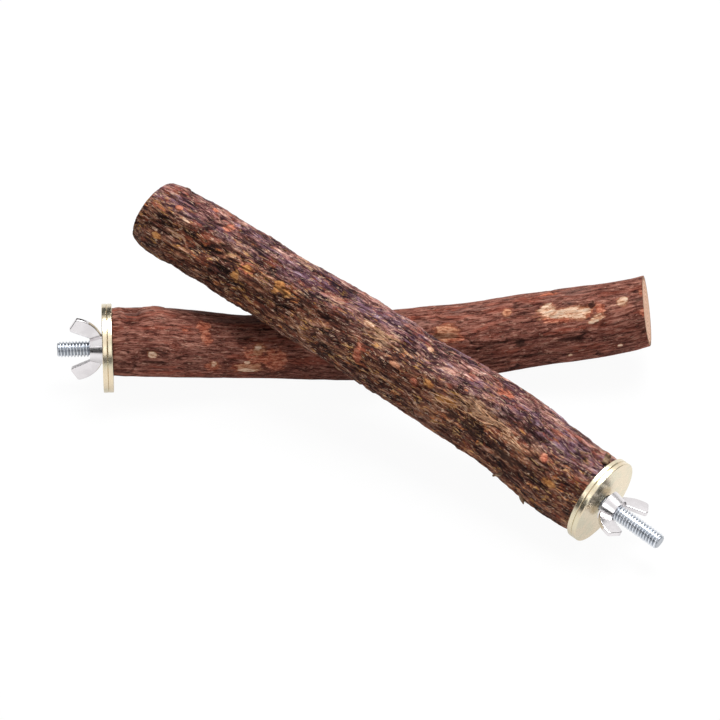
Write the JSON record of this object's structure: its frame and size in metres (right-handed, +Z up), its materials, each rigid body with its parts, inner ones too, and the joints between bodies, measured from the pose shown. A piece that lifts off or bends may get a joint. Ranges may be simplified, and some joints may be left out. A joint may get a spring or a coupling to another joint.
{
  "type": "bird perch",
  "caption": "Crossed natural branch perches with bark on, each with a threaded stud, large washers and a wing nut that clamp it to cage wires.",
  "frame": {"origin": "on the table under the middle of the pair's box", "axes": "+X along the rear perch from its washers to its free end, +Z up"},
  "size_m": [0.2344, 0.154, 0.0689],
  "materials": {
    "rear_bark": "dry reddish brown bark with fine long fissures and pale scars",
    "front_bark": "rough dark bark with ochre flecks and fibrous ridges",
    "branch_wood": "sawn end grain with growth rings",
    "zinc_stud": "bright zinc plate, rolled thread",
    "yellow_zinc_washer": "pale yellow passivated zinc plate",
    "nickel_wing_nut": "bright nickel plate on a cast nut"
  },
  "bodies": {
    "rear_branch": {"rear_wood": "branch_wood", "rear_bark": "rear_bark", "rear_hanger_bolt": "zinc_stud"},
    "rear_inner_washer": {"rear_inner_washer": "yellow_zinc_washer"},
    "rear_outer_washer": {"rear_outer_washer": "yellow_zinc_washer"},
    "rear_wing_nut": {"rear_wing_nut": "nickel_wing_nut"},
    "front_branch": {"front_wood": "branch_wood", "front_bark": "front_bark", "front_hanger_bolt": "zinc_stud"},
    "front_inner_washer": {"front_inner_washer": "yellow_zinc_washer"},
    "front_outer_washer": {"front_outer_washer": "yellow_zinc_washer"},
    "front_wing_nut": {"front_wing_nut": "nickel_wing_nut"}
  },
  "joints": [
    {"name": "rear_inner_washer_spin", "type": "hinge", "parent": "rear_branch", "child": "rear_inner_washer", "pos_m": [-0.09628, 0.02835, 0.01751], "axis": [-0.9987, -0.0506, 0.0112], "continuous": true},
    {"name": "rear_outer_washer_slide", "type": "slide", "parent": "rear_branch", "child": "rear_outer_washer", "axis": [-0.9987, -0.0506, 0.0112], "range_m": [0, 0.02096]},
    {"name": "rear_wing_nut_turn", "type": "hinge", "parent": "rear_outer_washer", "child": "rear_wing_nut", "pos_m": [-0.09927, 0.0282, 0.01754], "axis": [-0.9987, -0.0506, 0.0112], "range_deg": [0, 5940]},
    {"name": "front_inner_washer_spin", "type": "hinge", "parent": "front_branch", "child": "front_inner_washer", "pos_m": [0.09178, -0.05643, 0.01775], "axis": [0.7614, -0.6277, -0.1622], "continuous": true},
    {"name": "front_outer_washer_slide", "type": "slide", "parent": "front_branch", "child": "front_outer_washer", "axis": [0.7614, -0.6277, -0.1622], "range_m": [0, 0.03048]},
    {"name": "front_wing_nut_turn", "type": "hinge", "parent": "front_outer_washer", "child": "front_wing_nut", "pos_m": [0.09544, -0.05944, 0.01698], "axis": [0.7614, -0.6277, -0.1622], "range_deg": [0, 8640]},
    {"name": "front_perch_lift", "type": "slide", "parent": "rear_branch", "child": "front_branch", "axis": [0, 0, 1], "range_m": [0, 0.1]}
  ],
  "couplings": [
    {"joint": "rear_wing_nut_turn", "follows": "rear_outer_washer_slide", "rad_per_m": 4947.3},
    {"joint": "front_wing_nut_turn", "follows": "front_outer_washer_slide", "rad_per_m": 4947.3}
  ]
}
